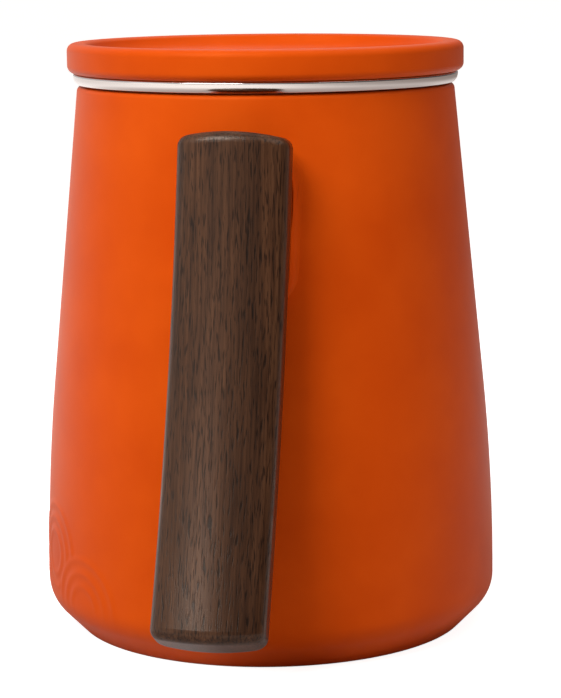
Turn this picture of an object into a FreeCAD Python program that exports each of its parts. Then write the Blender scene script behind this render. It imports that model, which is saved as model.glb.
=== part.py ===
import FreeCAD, Part
import math
import os

# Lidded tea mug with an infuser basket and a walnut bar handle.
# Millimetres. The origin is the centre of the foot, +Z is up the mug's axis
# and the handle is towards +X.

# Mug body
MUG_HEIGHT = 115.0
MUG_MAX_RADIUS = 48.0
LIP_RADIUS = 39.6
WALL = 4.4
FLOOR = 6.0
BELLY_HEIGHT = 52.0
CORNER_HEIGHT = 9.6
CORNER_RADIUS = 7.0
CORNER_SWEEP = 46.0
LIP_ROUND = 1.2
INNER_ROUND = 10.0
FOOT_WIDTH = 4.5
FOOT_RECESS = 1.6
FOOT_ROUND = 0.8

# Handle bar
HANDLE_LENGTH = 99.2
HANDLE_WIDTH = 21.9
HANDLE_THICKNESS = 11.5
HANDLE_CURVE = 268.0
HANDLE_TOP_DROP = 7.25
HANDLE_TOP_LEAN = 7.0
HANDLE_TOP_GAP = 1.0
HANDLE_CROWN = 2.8
HANDLE_EDGE_ROUND = 3.2
HANDLE_END_ROUND = 2.2
HANDLE_END_DOME = 1.3
HANDLE_SKEW = 1.3

# Handle lug, its tongue and the slot that takes it
LUG_TOP_DROP = 4.0
LUG_HEIGHT = 29.0
LUG_SIDE_INSET = 0.2
LUG_ROUND = 6.0
TONGUE_HEIGHT = 19.0
TONGUE_WIDTH = 10.0
TONGUE_DEPTH = 6.0
TONGUE_ROUND = 3.0
BOND_THICKNESS = 0.4

# Infuser basket
SHEET = 0.6
SEAT_GAP = 0.3
RIM_OVERHANG = 0.9
RIM_HEIGHT = 2.3
RIM_WIDTH = 2.2
RIM_TAPER = 0.85
RIM_TOP_ROUND = 0.5
RIM_LOW_ROUND = 0.3
RIM_INNER_ROUND = 0.9
MOUTH_CLEARANCE = 1.8
NECK_LENGTH = 9.0
BASKET_LENGTH = 78.0
BASKET_TAPER = 2.0
NECK_OVERLAP = 5.0
BASE_LIP = 3.0
BASE_DISH = 1.5
BASE_FLAT_WIDTH = 6.0
HOLE_DIAMETER = 3.0
WALL_HOLE_ROWS = 5
WALL_HOLES_ROUND = 14
WALL_HOLE_MARGIN = 8.0
BASE_HOLE_PITCH = 8.5
BASE_HOLE_RINGS = 2

# Lid
LID_OVERHANG = 1.1
LID_EDGE_HEIGHT = 6.2
LID_EDGE_ROUND = 1.6
LID_RIM_WIDTH = 4.2
LID_DISH_DEPTH = 3.4
LID_DISH_ROUND = 5.0
LID_RIM_CREST = 1.5
LID_PLUG_DEPTH = 5.6
LID_THICKNESS = 5.0
PLUG_CLEARANCE = 2.4
SEAL_THICKNESS = 4.0
SEAL_HEIGHT = 2.4
SEAL_CLEARANCE = 0.3
SEAL_GROOVE_DROP = 1.6

# Worked out from the sizes above
RIM_OUTER = LIP_RADIUS + RIM_OVERHANG
RIM_BOTTOM = MUG_HEIGHT + SEAT_GAP
RIM_TOP = RIM_BOTTOM + RIM_HEIGHT
MOUTH_RADIUS = LIP_RADIUS - WALL
HANDLE_TOP_HEIGHT = MUG_HEIGHT - HANDLE_TOP_DROP
NECK_OUTER = MOUTH_RADIUS - MOUTH_CLEARANCE
NECK_INNER = NECK_OUTER - SHEET
BASKET_TOP_OUTER = NECK_INNER
BASKET_BOTTOM_OUTER = BASKET_TOP_OUTER - BASKET_TAPER
BASKET_TOP = RIM_TOP - NECK_LENGTH + NECK_OVERLAP
BASKET_BOTTOM = RIM_TOP - BASKET_LENGTH
LID_BOTTOM = RIM_TOP
LID_RADIUS = RIM_OUTER + LID_OVERHANG
LID_TOP = LID_BOTTOM + LID_EDGE_HEIGHT
PLUG_RADIUS = BASKET_TOP_OUTER - SHEET - PLUG_CLEARANCE
SEAL_OUTER = NECK_INNER - SEAL_CLEARANCE
SEAL_INNER = SEAL_OUTER - SEAL_THICKNESS

AXIS = FreeCAD.Vector(0, 0, 1)
ORIGIN = FreeCAD.Vector(0, 0, 0)
SIDEWAYS = FreeCAD.Vector(0, 1, 0)
OUTWARD = FreeCAD.Vector(1, 0, 0)


def at(radius, height):
    """A point of a half section, in the XZ plane."""
    return FreeCAD.Vector(radius, 0, height)


def turned(edges):
    """The solid that a closed half section makes round the mug's axis."""
    face = Part.Face(Part.Wire(Part.__sortEdges__(edges)))
    return face.revolve(ORIGIN, AXIS, 360)


def lines(points):
    """Straight edges from point to point."""
    return [Part.LineSegment(a, b).toShape() for a, b in zip(points, points[1:])]


def arc(start, middle, end):
    return Part.Arc(start, middle, end).toShape()


def corner_arc(start, corner, end):
    """A rounded corner: a quarter turn from start to end, bulging to the corner."""
    centre = start + end - corner
    middle = centre + (corner - centre) * math.sqrt(0.5)
    return arc(start, middle, end)


def wall_lean():
    """The lean of the straight upper wall, in radians, which the belly arc carries on."""
    straight = MUG_HEIGHT - BELLY_HEIGHT
    curved = BELLY_HEIGHT - CORNER_HEIGHT
    lean = 0.0
    for _ in range(40):
        belly_growth = curved * math.tan(lean / 2.0)
        lean = math.atan((MUG_MAX_RADIUS - LIP_RADIUS - belly_growth) / straight)
    return lean


def belly_arc(inset):
    """The arc that carries the leaning wall down to upright, set in by a wall."""
    lean = wall_lean()
    radius = (BELLY_HEIGHT - CORNER_HEIGHT) / math.sin(lean)
    centre = at(MUG_MAX_RADIUS - radius, CORNER_HEIGHT)

    def point(angle):
        reach = radius - inset
        return centre + at(reach * math.cos(angle), reach * math.sin(angle))

    return point(lean), point(lean / 2.0), point(0.0)


def wall_radius(height):
    """The outside radius of the straight upper wall at a height."""
    return LIP_RADIUS + (MUG_HEIGHT - height) * math.tan(wall_lean())


def mug_form():
    """The thrown form, still solid: foot, corner, belly, leaning wall and lip."""
    lean = wall_lean()
    upper, middle, lower = belly_arc(0.0)
    sweep = math.radians(CORNER_SWEEP)
    corner_centre = lower - at(CORNER_RADIUS, 0)

    def corner_point(angle):
        return corner_centre + at(CORNER_RADIUS * math.cos(angle), -CORNER_RADIUS * math.sin(angle))

    corner_end = corner_point(sweep)
    drop = corner_end.z - FOOT_ROUND
    slope_end = corner_end - at(drop / math.tan(sweep), drop)
    foot_edge = at(slope_end.x - FOOT_ROUND, 0)
    foot_inner = at(foot_edge.x - FOOT_WIDTH, 0)
    recess_edge = at(foot_inner.x - FOOT_RECESS, FOOT_RECESS)
    lip_out = at(LIP_RADIUS + LIP_ROUND * math.tan(lean), MUG_HEIGHT - LIP_ROUND)
    lip_top = at(LIP_RADIUS - LIP_ROUND, MUG_HEIGHT)
    edges = lines([at(0, MUG_HEIGHT), at(0, FOOT_RECESS), recess_edge, foot_inner, foot_edge])
    edges.append(corner_arc(foot_edge, at(slope_end.x, 0), slope_end))
    edges += lines([slope_end, corner_end])
    edges.append(arc(corner_end, corner_point(sweep / 2.0), lower))
    edges.append(arc(lower, middle, upper))
    edges += lines([upper, lip_out])
    edges.append(corner_arc(lip_out, at(LIP_RADIUS, MUG_HEIGHT), lip_top))
    edges += lines([lip_top, at(0, MUG_HEIGHT)])
    return turned(edges)


def mug_well():
    """The space inside the mug, from its rounded floor up to its eased mouth."""
    upper, middle, lower = belly_arc(WALL)
    side = at(lower.x, FLOOR + INNER_ROUND)
    floor_edge = at(lower.x - INNER_ROUND, FLOOR)
    mouth_side = at(MOUTH_RADIUS, MUG_HEIGHT - LIP_ROUND)
    mouth_top = at(MOUTH_RADIUS + LIP_ROUND, MUG_HEIGHT)
    edges = lines([at(0, MUG_HEIGHT), at(0, FLOOR), floor_edge])
    edges.append(corner_arc(floor_edge, at(lower.x, FLOOR), side))
    edges += lines([side, lower])
    edges.append(arc(lower, middle, upper))
    edges += lines([upper, mouth_side])
    edges.append(corner_arc(mouth_side, at(MOUTH_RADIUS, MUG_HEIGHT), mouth_top))
    edges += lines([mouth_top, at(0, MUG_HEIGHT)])
    return turned(edges)


def handle_frame():
    """The handle's arc: the centre that its curve turns about, and the angle of its top."""
    lean = math.radians(HANDLE_TOP_LEAN)
    inner_x = wall_radius(HANDLE_TOP_HEIGHT) + HANDLE_TOP_GAP
    reach = HANDLE_CURVE + HANDLE_THICKNESS
    centre = at(inner_x + reach * math.cos(lean), HANDLE_TOP_HEIGHT + reach * math.sin(lean))
    return centre, lean


def along_handle(distance, depth):
    """A point on the handle's mid plane: down from its top, and in from its outer face."""
    centre, lean = handle_frame()
    angle = lean + distance / (HANDLE_CURVE + HANDLE_THICKNESS / 2.0)
    reach = HANDLE_CURVE + depth
    return centre - at(reach * math.cos(angle), reach * math.sin(angle))


def set_askew(shape):
    """Tips the handle and its seat a little off plumb about the middle of the lug."""
    pivot = along_handle(LUG_TOP_DROP + LUG_HEIGHT / 2.0, HANDLE_THICKNESS)
    tipped = shape.copy()
    tipped.rotate(pivot, OUTWARD, -HANDLE_SKEW)
    return tipped


def end_waste(distance, outward):
    """What the domed end takes off: a block over the bar's end, less the dome's cylinder."""
    dome_radius = (HANDLE_WIDTH ** 2 / 4.0 + HANDLE_END_DOME ** 2) / (2.0 * HANDLE_END_DOME)
    spot = along_handle(distance, HANDLE_THICKNESS / 2.0)
    inward = along_handle(distance, HANDLE_THICKNESS) - along_handle(distance, 0.0)
    inward.normalize()
    beyond = FreeCAD.Vector(-inward.z, 0, inward.x) * outward
    reach = 2.0 * HANDLE_THICKNESS
    width = 2.0 * HANDLE_WIDTH
    low = spot - beyond * HANDLE_END_DOME - SIDEWAYS * (width / 2.0) - inward * (reach / 2.0)
    edges = [low, low + SIDEWAYS * width, low + SIDEWAYS * width + inward * reach,
             low + inward * reach, low]
    block = Part.Face(Part.makePolygon(edges)).extrude(beyond * HANDLE_THICKNESS)
    centre = spot - beyond * dome_radius - inward * reach
    return block.cut(Part.makeCylinder(dome_radius, 2.0 * reach, centre, inward)), dome_radius


def handle_bar():
    """The walnut bar: a crowned section carried round the handle's arc, its ends domed."""
    centre, lean = handle_frame()
    half = HANDLE_WIDTH / 2.0
    radial = along_handle(0, 1.0) - along_handle(0, 0.0)
    top = along_handle(0, 0.0)

    def point(across, depth):
        return top + radial * depth + SIDEWAYS * across

    crown = arc(point(-half, HANDLE_CROWN), point(0, 0), point(half, HANDLE_CROWN))
    rest = lines([point(half, HANDLE_CROWN), point(half, HANDLE_THICKNESS),
                  point(-half, HANDLE_THICKNESS), point(-half, HANDLE_CROWN)])
    face = Part.Face(Part.Wire([crown] + rest))
    angle = math.degrees(HANDLE_LENGTH / (HANDLE_CURVE + HANDLE_THICKNESS / 2.0))
    bar = face.revolve(centre, SIDEWAYS, -angle)
    long_edges = [e for e in bar.Edges if not on_end(e, 0.0) and not on_end(e, HANDLE_LENGTH)]
    bar = bar.makeFillet(HANDLE_EDGE_ROUND, long_edges)
    for distance, outward in ((0.0, -1), (HANDLE_LENGTH, 1)):
        waste, dome_radius = end_waste(distance, outward)
        bar = bar.cut(waste)
    ends = [f for f in bar.Faces if isinstance(f.Surface, Part.Cylinder)
            and abs(f.Surface.Radius - dome_radius) < HANDLE_END_DOME / 100.0]
    return bar.makeFillet(HANDLE_END_ROUND, [e for f in ends for e in f.Edges])


def on_end(edge, distance):
    """Whether an edge lies on the bar's end face at a distance along it."""
    centre, lean = handle_frame()
    angle = lean + distance / (HANDLE_CURVE + HANDLE_THICKNESS / 2.0)
    normal = at(math.sin(angle), -math.cos(angle))
    tolerance = 1e-4
    spots = [edge.valueAt(edge.FirstParameter), edge.valueAt(edge.LastParameter)]
    return all(abs((spot - centre).dot(normal)) < tolerance for spot in spots)


def rounded_slab(height, width, corner, low, start, depth):
    """A slab with rounded corners in its YZ outline, standing on low, from x start to depth."""
    box = Part.makeBox(depth, width, height, FreeCAD.Vector(start, -width / 2.0, low))
    long_edges = [e for e in box.Edges if abs(e.tangentAt(e.FirstParameter).x) > 0.5]
    return box.makeFillet(corner, long_edges)


def handle_side(depth):
    """The round block on the far side of one of the handle's curved layers."""
    centre = handle_frame()[0]
    width = HANDLE_WIDTH * 2.0
    base = FreeCAD.Vector(centre.x, -width / 2.0, centre.z)
    return Part.makeCylinder(HANDLE_CURVE + depth, width, base, SIDEWAYS)


def lug():
    """The ceramic pad that the bar lies against, from inside the wall to the bar's back."""
    top = along_handle(LUG_TOP_DROP, HANDLE_THICKNESS)
    low = top.z - LUG_HEIGHT
    start = MOUTH_RADIUS
    reach = along_handle(LUG_TOP_DROP + LUG_HEIGHT, 0).x - start
    width = HANDLE_WIDTH - 2.0 * LUG_SIDE_INSET
    slab = rounded_slab(LUG_HEIGHT, width, LUG_ROUND, low, start, reach)
    return slab.cut(handle_side(HANDLE_THICKNESS))


def tongue(grow):
    """The lug's tongue inside the bar, grown on every side for the slot."""
    middle = along_handle(LUG_TOP_DROP + LUG_HEIGHT / 2.0, HANDLE_THICKNESS)
    height = TONGUE_HEIGHT + 2.0 * grow
    start = middle.x - HANDLE_THICKNESS
    slab = rounded_slab(height, TONGUE_WIDTH + 2.0 * grow, TONGUE_ROUND + grow,
                        middle.z - height / 2.0, start, 2.0 * HANDLE_THICKNESS)
    front = HANDLE_THICKNESS - TONGUE_DEPTH - grow
    inside = handle_side(HANDLE_THICKNESS)
    return slab.common(inside).cut(handle_side(front))


def mug_body():
    """The mug with its lug and tongue in one casting, hollowed by the well."""
    fixing = set_askew(lug().fuse(tongue(0.0)))
    return mug_form().fuse(fixing).cut(mug_well()).removeSplitter()


def handle_grip():
    """The bar with its slot."""
    return set_askew(handle_bar().cut(tongue(BOND_THICKNESS)))


def handle_bond():
    """The bed that fills the slot round the tongue."""
    return set_askew(tongue(BOND_THICKNESS).cut(tongue(0.0)))


def infuser_rim():
    """The flange ring: a tapered skirt over the lip, a flat flange and a short neck."""
    skirt_in = RIM_OUTER - RIM_WIDTH
    low_outer = RIM_OUTER - RIM_TAPER
    under = RIM_TOP - SHEET
    neck_low = RIM_TOP - NECK_LENGTH
    inner_top = at(NECK_INNER + RIM_INNER_ROUND, RIM_TOP)
    inner_side = at(NECK_INNER, RIM_TOP - RIM_INNER_ROUND)
    top_edge = at(RIM_OUTER - RIM_TOP_ROUND, RIM_TOP)
    outer_top = at(RIM_OUTER, RIM_TOP - RIM_TOP_ROUND)
    outer_low = at(low_outer, RIM_BOTTOM + RIM_LOW_ROUND)
    low_edge = at(low_outer - RIM_LOW_ROUND, RIM_BOTTOM)
    edges = [corner_arc(top_edge, at(RIM_OUTER, RIM_TOP), outer_top)]
    edges += lines([outer_top, outer_low])
    edges.append(corner_arc(outer_low, at(low_outer, RIM_BOTTOM), low_edge))
    edges += lines([low_edge, at(skirt_in, RIM_BOTTOM), at(skirt_in, under), at(NECK_OUTER, under),
                    at(NECK_OUTER, neck_low), at(NECK_INNER, neck_low), inner_side])
    edges.append(corner_arc(inner_side, at(NECK_INNER, RIM_TOP), inner_top))
    edges += lines([inner_top, top_edge])
    return turned(edges)


def basket_radius(height):
    """The basket wall's outside radius at a height: straight in the neck, then tapered."""
    neck_low = RIM_TOP - NECK_LENGTH
    if height >= neck_low:
        return BASKET_TOP_OUTER
    share = (neck_low - height) / (neck_low - BASKET_BOTTOM)
    return BASKET_TOP_OUTER - BASKET_TAPER * share


def wall_hole_heights():
    """Heights of the rows of holes, evenly spaced clear of the neck and the base."""
    low = BASKET_BOTTOM + WALL_HOLE_MARGIN
    high = RIM_TOP - NECK_LENGTH - WALL_HOLE_MARGIN / 2.0
    step = (high - low) / (WALL_HOLE_ROWS - 1)
    return [low + step * row for row in range(WALL_HOLE_ROWS)]


def infuser_wall():
    """The tapered tube, with staggered rows of round holes."""
    neck_low = RIM_TOP - NECK_LENGTH
    tube = turned(lines([
        at(BASKET_TOP_OUTER - SHEET, BASKET_TOP), at(BASKET_TOP_OUTER, BASKET_TOP),
        at(BASKET_TOP_OUTER, neck_low), at(BASKET_BOTTOM_OUTER, BASKET_BOTTOM),
        at(BASKET_BOTTOM_OUTER - SHEET, BASKET_BOTTOM), at(BASKET_TOP_OUTER - SHEET, neck_low),
        at(BASKET_TOP_OUTER - SHEET, BASKET_TOP)]))
    pitch = 360.0 / WALL_HOLES_ROUND
    drills = []
    for row, height in enumerate(wall_hole_heights()):
        for place in range(WALL_HOLES_ROUND):
            drill = Part.makeCylinder(HOLE_DIAMETER / 2.0, NECK_OUTER, at(0, height), OUTWARD)
            drill.rotate(at(0, height), AXIS, pitch * (place + 0.5 * (row % 2)))
            drills.append(drill)
    return tube.cut(drills)


def infuser_base():
    """The dished end disc with its turned-up edge outside the tube, and rings of holes."""
    inner_low = BASKET_BOTTOM_OUTER
    inner_high = basket_radius(BASKET_BOTTOM + BASE_LIP)
    dish_edge = inner_low - BASE_FLAT_WIDTH
    floor_top = BASKET_BOTTOM
    floor_low = floor_top - SHEET
    edges = lines([
        at(dish_edge, floor_low), at(inner_low + SHEET, floor_low),
        at(inner_high + SHEET, floor_top + BASE_LIP), at(inner_high, floor_top + BASE_LIP),
        at(inner_low, floor_top), at(dish_edge, floor_top)])
    edges.append(dish_arc(dish_edge, floor_top))
    edges += lines([at(0, floor_top + BASE_DISH), at(0, floor_low + BASE_DISH)])
    edges.append(dish_arc(dish_edge, floor_low))
    drill_low = floor_low - SHEET
    drill_length = BASE_DISH + BASE_LIP
    drills = [Part.makeCylinder(HOLE_DIAMETER / 2.0, drill_length, at(0, drill_low))]
    for ring in range(1, BASE_HOLE_RINGS + 1):
        for place in range(6 * ring):
            drill = Part.makeCylinder(HOLE_DIAMETER / 2.0, drill_length,
                                      at(BASE_HOLE_PITCH * ring, drill_low))
            drill.rotate(ORIGIN, AXIS, 60.0 * place / ring)
            drills.append(drill)
    return turned(edges).cut(drills)


def dish_arc(edge_radius, height):
    """The arc of the base's raised middle, from its edge at a height to the axis."""
    curve = (edge_radius ** 2 + BASE_DISH ** 2) / (2.0 * BASE_DISH)
    half = edge_radius / 2.0
    rise = height + BASE_DISH - curve + math.sqrt(curve ** 2 - half ** 2)
    return arc(at(edge_radius, height), at(half, rise), at(0, height + BASE_DISH))


def lid():
    """The dished lid: a rounded edge, a raised rim round a shallow dish, and a plug below."""
    plug_low = LID_BOTTOM - LID_PLUG_DEPTH
    dish_radius = LID_RADIUS - LID_RIM_WIDTH
    dish_floor = LID_TOP - LID_DISH_DEPTH
    groove_top = LID_BOTTOM - SEAL_GROOVE_DROP
    groove_low = groove_top - SEAL_HEIGHT
    hollow = PLUG_RADIUS - LID_THICKNESS
    hollow_top = dish_floor - LID_THICKNESS
    dish_start = at(dish_radius - LID_DISH_ROUND, dish_floor)
    crest_start = at(dish_radius, LID_TOP - LID_RIM_CREST)
    crest = at(dish_radius + LID_RIM_CREST, LID_TOP)
    top_edge = at(LID_RADIUS - LID_EDGE_ROUND, LID_TOP)
    top_side = at(LID_RADIUS, LID_TOP - LID_EDGE_ROUND)
    low_side = at(LID_RADIUS, LID_BOTTOM + LID_EDGE_ROUND)
    low_edge = at(LID_RADIUS - LID_EDGE_ROUND, LID_BOTTOM)
    edges = lines([at(0, hollow_top), at(0, dish_floor), dish_start])
    edges.append(dish_side(dish_start, crest_start))
    edges.append(corner_arc(crest_start, at(dish_radius, LID_TOP), crest))
    edges += lines([crest, top_edge])
    edges.append(corner_arc(top_edge, at(LID_RADIUS, LID_TOP), top_side))
    edges += lines([top_side, low_side])
    edges.append(corner_arc(low_side, at(LID_RADIUS, LID_BOTTOM), low_edge))
    edges += lines([low_edge, at(PLUG_RADIUS, LID_BOTTOM), at(PLUG_RADIUS, groove_top),
                    at(SEAL_INNER, groove_top), at(SEAL_INNER, groove_low),
                    at(PLUG_RADIUS, groove_low), at(PLUG_RADIUS, plug_low),
                    at(hollow, plug_low), at(hollow, hollow_top), at(0, hollow_top)])
    return turned(edges)


def dish_side(start, end):
    """The arc that leaves the dish's flat floor at start and climbs to end."""
    run = end.x - start.x
    climb = end.z - start.z
    curve = (run ** 2 + climb ** 2) / (2.0 * climb)
    angle = math.asin(run / curve) / 2.0
    return arc(start, start + at(curve * math.sin(angle), curve * (1.0 - math.cos(angle))), end)


def lid_seal():
    """The silicone ring in the plug's groove, with a rounded outer face."""
    top = LID_BOTTOM - SEAL_GROOVE_DROP
    low = top - SEAL_HEIGHT
    inner = SEAL_INNER
    edges = lines([at(PLUG_RADIUS, low), at(inner, low), at(inner, top), at(PLUG_RADIUS, top)])
    edges.append(arc(at(PLUG_RADIUS, top), at(SEAL_OUTER, (top + low) / 2.0), at(PLUG_RADIUS, low)))
    return turned(edges)


PIECES = {
    "mug_body": mug_body,
    "handle_grip": handle_grip,
    "handle_bond": handle_bond,
    "infuser_rim": infuser_rim,
    "infuser_wall": infuser_wall,
    "infuser_base": infuser_base,
    "lid": lid,
    "lid_seal": lid_seal,
}

os.makedirs("parts", exist_ok=True)
for name, make in PIECES.items():
    shape = make()
    shape.exportStep("parts/" + name + ".step")
    box = shape.BoundBox
    low = [round(v, 2) for v in (box.XMin, box.YMin, box.ZMin)]
    high = [round(v, 2) for v in (box.XMax, box.YMax, box.ZMax)]
    print(name, len(shape.Solids), shape.isValid(), round(shape.Volume, 1), low, high)
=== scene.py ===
import math

import bmesh
import bpy
from mathutils import Matrix, Vector


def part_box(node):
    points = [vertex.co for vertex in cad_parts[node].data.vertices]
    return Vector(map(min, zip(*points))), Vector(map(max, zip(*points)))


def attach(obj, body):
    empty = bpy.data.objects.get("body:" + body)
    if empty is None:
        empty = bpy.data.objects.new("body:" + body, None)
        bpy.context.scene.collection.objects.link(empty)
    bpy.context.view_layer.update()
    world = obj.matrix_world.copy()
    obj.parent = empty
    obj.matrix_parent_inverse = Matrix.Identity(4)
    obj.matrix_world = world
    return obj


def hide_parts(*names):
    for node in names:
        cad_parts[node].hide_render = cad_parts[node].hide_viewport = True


# The lidded tea mug with its walnut bar handle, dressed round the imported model.
# Metres. The origin is the centre of the foot, +Z is up and the handle is towards +X.

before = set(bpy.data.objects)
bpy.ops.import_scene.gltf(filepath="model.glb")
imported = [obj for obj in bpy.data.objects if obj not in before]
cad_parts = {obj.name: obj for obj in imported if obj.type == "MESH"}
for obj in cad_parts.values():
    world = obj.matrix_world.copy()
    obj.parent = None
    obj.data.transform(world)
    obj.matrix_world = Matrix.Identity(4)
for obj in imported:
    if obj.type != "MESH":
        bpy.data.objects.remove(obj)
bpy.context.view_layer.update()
MM = 0.001

# The mug's form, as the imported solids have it
MUG_HEIGHT = 115.0 * MM
MUG_MAX_RADIUS = 48.0 * MM
LIP_RADIUS = 39.6 * MM
WALL = 4.4 * MM
FLOOR = 6.0 * MM
BELLY_HEIGHT = 52.0 * MM
CORNER_HEIGHT = 9.6 * MM
CORNER_RADIUS = 7.0 * MM
CORNER_SWEEP = math.radians(46.0)
LIP_ROUND = 1.2 * MM
INNER_ROUND = 10.0 * MM
FOOT_WIDTH = 4.5 * MM
FOOT_RECESS = 1.6 * MM
FOOT_ROUND = 0.8 * MM

# The handle's curve and the lug that carries it
HANDLE_WIDTH = 21.9 * MM
HANDLE_THICKNESS = 11.5 * MM
HANDLE_CURVE = 268.0 * MM
HANDLE_TOP_DROP = 7.25 * MM
HANDLE_TOP_LEAN = math.radians(7.0)
HANDLE_TOP_GAP = 1.0 * MM
HANDLE_SKEW = math.radians(1.3)
LUG_TOP_DROP = 4.0 * MM
LUG_HEIGHT = 29.0 * MM
LUG_SIDE_INSET = 0.2 * MM
LUG_ROUND = 6.0 * MM
LUG_FLARE = 1.6 * MM
LUG_FLARE_SHARE = 0.6
TONGUE_HEIGHT = 19.0 * MM
TONGUE_WIDTH = 10.0 * MM
TONGUE_DEPTH = 6.0 * MM
TONGUE_ROUND = 3.0 * MM

# The steel ring
SHEET = 0.6 * MM
RIM_HEIGHT = 2.3 * MM
RIM_WIDTH = 2.2 * MM
RIM_TAPER = 0.85 * MM
RIM_TOP_ROUND = 0.5 * MM
RIM_LOW_ROUND = 0.3 * MM
RIM_INNER_ROUND = 0.9 * MM
RIM_FACE_DROP = 1.5 * MM
RIM_FACE_TAPER = 0.22 * MM
RIM_FACE_ROUND = 1.6 * MM

# The basket and its perforation. HOLE_SHARE is a hole's width as a share of the pitch.
BASKET_TAPER = 2.0 * MM
BASE_LIP = 3.0 * MM
BASE_DISH = 1.5 * MM
BASE_FLAT_WIDTH = 6.0 * MM
BASE_HOLES_REACH = 26.0 * MM
BASE_SPARE_CELLS = 5
HOLE_PITCH = 2.6 * MM
HOLE_SHARE = 0.52
HOLE_SIDES = 10
HEX_ROW = math.sqrt(3.0) / 2.0
PLAIN_TOP = 4.0 * MM
PLAIN_LOW = 6.0 * MM
PLAIN_PROUD = 0.03 * MM

# The lid
LID_EDGE_ROUND = 1.6 * MM
LID_RIM_WIDTH = 4.2 * MM
LID_RIM_CREST = 1.5 * MM
LID_DISH_DEPTH = 3.4 * MM
LID_DISH_ROUND = 5.0 * MM
LID_DISH_SLOPE = LID_DISH_ROUND / 3.0
LID_PLUG_DEPTH = 5.6 * MM
LID_THICKNESS = 5.0 * MM
PLUG_BEHIND_SEAL = 2.7 * MM
SEAL_THICKNESS = 4.0 * MM

# The raised waves on the mug's lower wall: so many scallops in each row, lowest row first
WAVE_ROWS = (4, 3)
WAVE_RADIUS = 10.2 * MM
WAVE_SPACING = 2.8 * MM
WAVE_RIDGES = 3
WAVE_HEIGHT = 0.2 * MM
WAVE_WIDTH = 0.62 * MM
WAVE_EDGE = 1.5 * WAVE_WIDTH
WAVE_PITCH = 29.0 * MM
WAVE_ROW_RISE = 9.0 * MM
WAVE_LOW = 9.0 * MM
WAVE_FADE = 4.4 * MM
WAVE_MIDDLE = math.radians(-98.6)

# The materials' patterns: how far apart their clouds, streaks, pores or grains lie
GLAZE_CLOUD = 16.667 * MM
GLAZE_RIPPLE = 1.4286 * MM
WALNUT_BAND = 4.1667 * MM
WALNUT_FIBRE = 0.45455 * MM
WALNUT_PORE = 0.30303 * MM
STONEWARE_GRIT = 0.4 * MM
STEEL_CLOUD = 8.3333 * MM
SILICONE_CLOUD = 6.6667 * MM
EPOXY_CLOUD = 3.3333 * MM

# How finely the meshes are divided
MUG_STEPS = 540
RING_STEPS = 256
ARC_STEP = math.radians(8.0)
CORNER_STEPS = 8
FLARE_STEPS = 6
WAVE_ROW_STEP = 0.5 * MM
PLAIN_ROW_STEP = 2.5 * MM
LONG_RUN = 5.0 * MM
INSIDE_ROW_SHARE = 6
LID_RUN = 2.0 * MM
PAD_RUN = 1.0 * MM
SHARP_EDGE = math.radians(35.0)

# Points this near to each other, or to the axis, are one. CELL_WELD is in widths of a cell.
WELD = 0.002 * MM
SEAM_WELD = 0.04 * MM
CELL_WELD = 0.02
ON_AXIS = 0.0001 * MM

# The photograph's frame and the camera fitted to it
PHOTO_HEIGHT = 698
FOCAL_PIXELS = 2409.0
CENTRE_OFFSET_PIXELS = 45.5
CAMERA_AZIMUTH = 97.9
CAMERA_DISTANCE = 510 * MM
CAMERA_HEIGHT = 144.9 * MM
CAMERA_YAW = 1.37
CAMERA_PITCH = 9.67
CAMERA_ROLL = -0.47
CAMERA_NEAR = 10 * MM
SENSOR_HEIGHT = 24.0

# The lamps: name, degrees round to the camera's right, degrees up, metres away, metres
# across, and watts
LAMPS = (("key", -36, 47, 0.8, 0.4, 5.8),
         ("side", -72, 6, 0.9, 0.4, 0.3),
         ("fill", 56, 56, 0.55, 0.35, 0.62),
         ("back", 170, 55, 0.9, 0.4, 1.1))
LAMP_AIM_HEIGHT = 60.0 * MM
STUDIO_REACH = 6.0


def linear(code):
    """An sRGB hex colour as the linear colour that a shader takes."""
    parts = [int(code[i:i + 2], 16) / 255.0 for i in (0, 2, 4)]
    return tuple(c / 12.92 if c <= 0.04045 else ((c + 0.055) / 1.055) ** 2.4 for c in parts) + (1.0,)


def add_node(tree, kind, settings=None, **inputs):
    """Adds one node with its settings, and sets or links its inputs by socket name, or by
    number after an underscore. A node as a value gives its first output, and a list gives
    several links."""
    node = tree.nodes.new(kind)
    for key, value in (settings or {}).items():
        setattr(node, key, value)
    for key, given in inputs.items():
        socket = node.inputs[int(key[1:])] if key[0] == "_" else node.inputs[key.replace("_", " ")]
        for value in given if isinstance(given, list) else [given]:
            if isinstance(value, bpy.types.Node):
                value = value.outputs[0]
            if isinstance(value, bpy.types.NodeSocket):
                tree.links.new(value, socket)
            else:
                socket.default_value = value
    return node


def emptied(owner):
    """The node tree of a material or a world, with nothing in it yet."""
    owner.use_nodes = True
    owner.node_tree.nodes.clear()
    return owner.node_tree


def started(name):
    """A new material, its empty tree, and the place on the object that its patterns read."""
    made = bpy.data.materials.new(name)
    tree = emptied(made)
    return made, tree, add_node(tree, "ShaderNodeTexCoord").outputs["Object"]


def surfaced(made, **shader):
    """Ends a material with its Principled shader and its output."""
    surface = add_node(made.node_tree, "ShaderNodeBsdfPrincipled", **shader)
    add_node(made.node_tree, "ShaderNodeOutputMaterial", Surface=surface)
    return made


def toned(tree, factor, low, high):
    """A colour that goes from one (place, hex colour) to the other as a factor grows."""
    share = add_node(tree, "ShaderNodeMapRange", Value=factor, From_Min=low[0], From_Max=high[0])
    blend = add_node(tree, "ShaderNodeMix", {"data_type": "RGBA"}, _0=share, _6=linear(low[1]),
                     _7=linear(high[1]))
    return blend.outputs[2]


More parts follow.
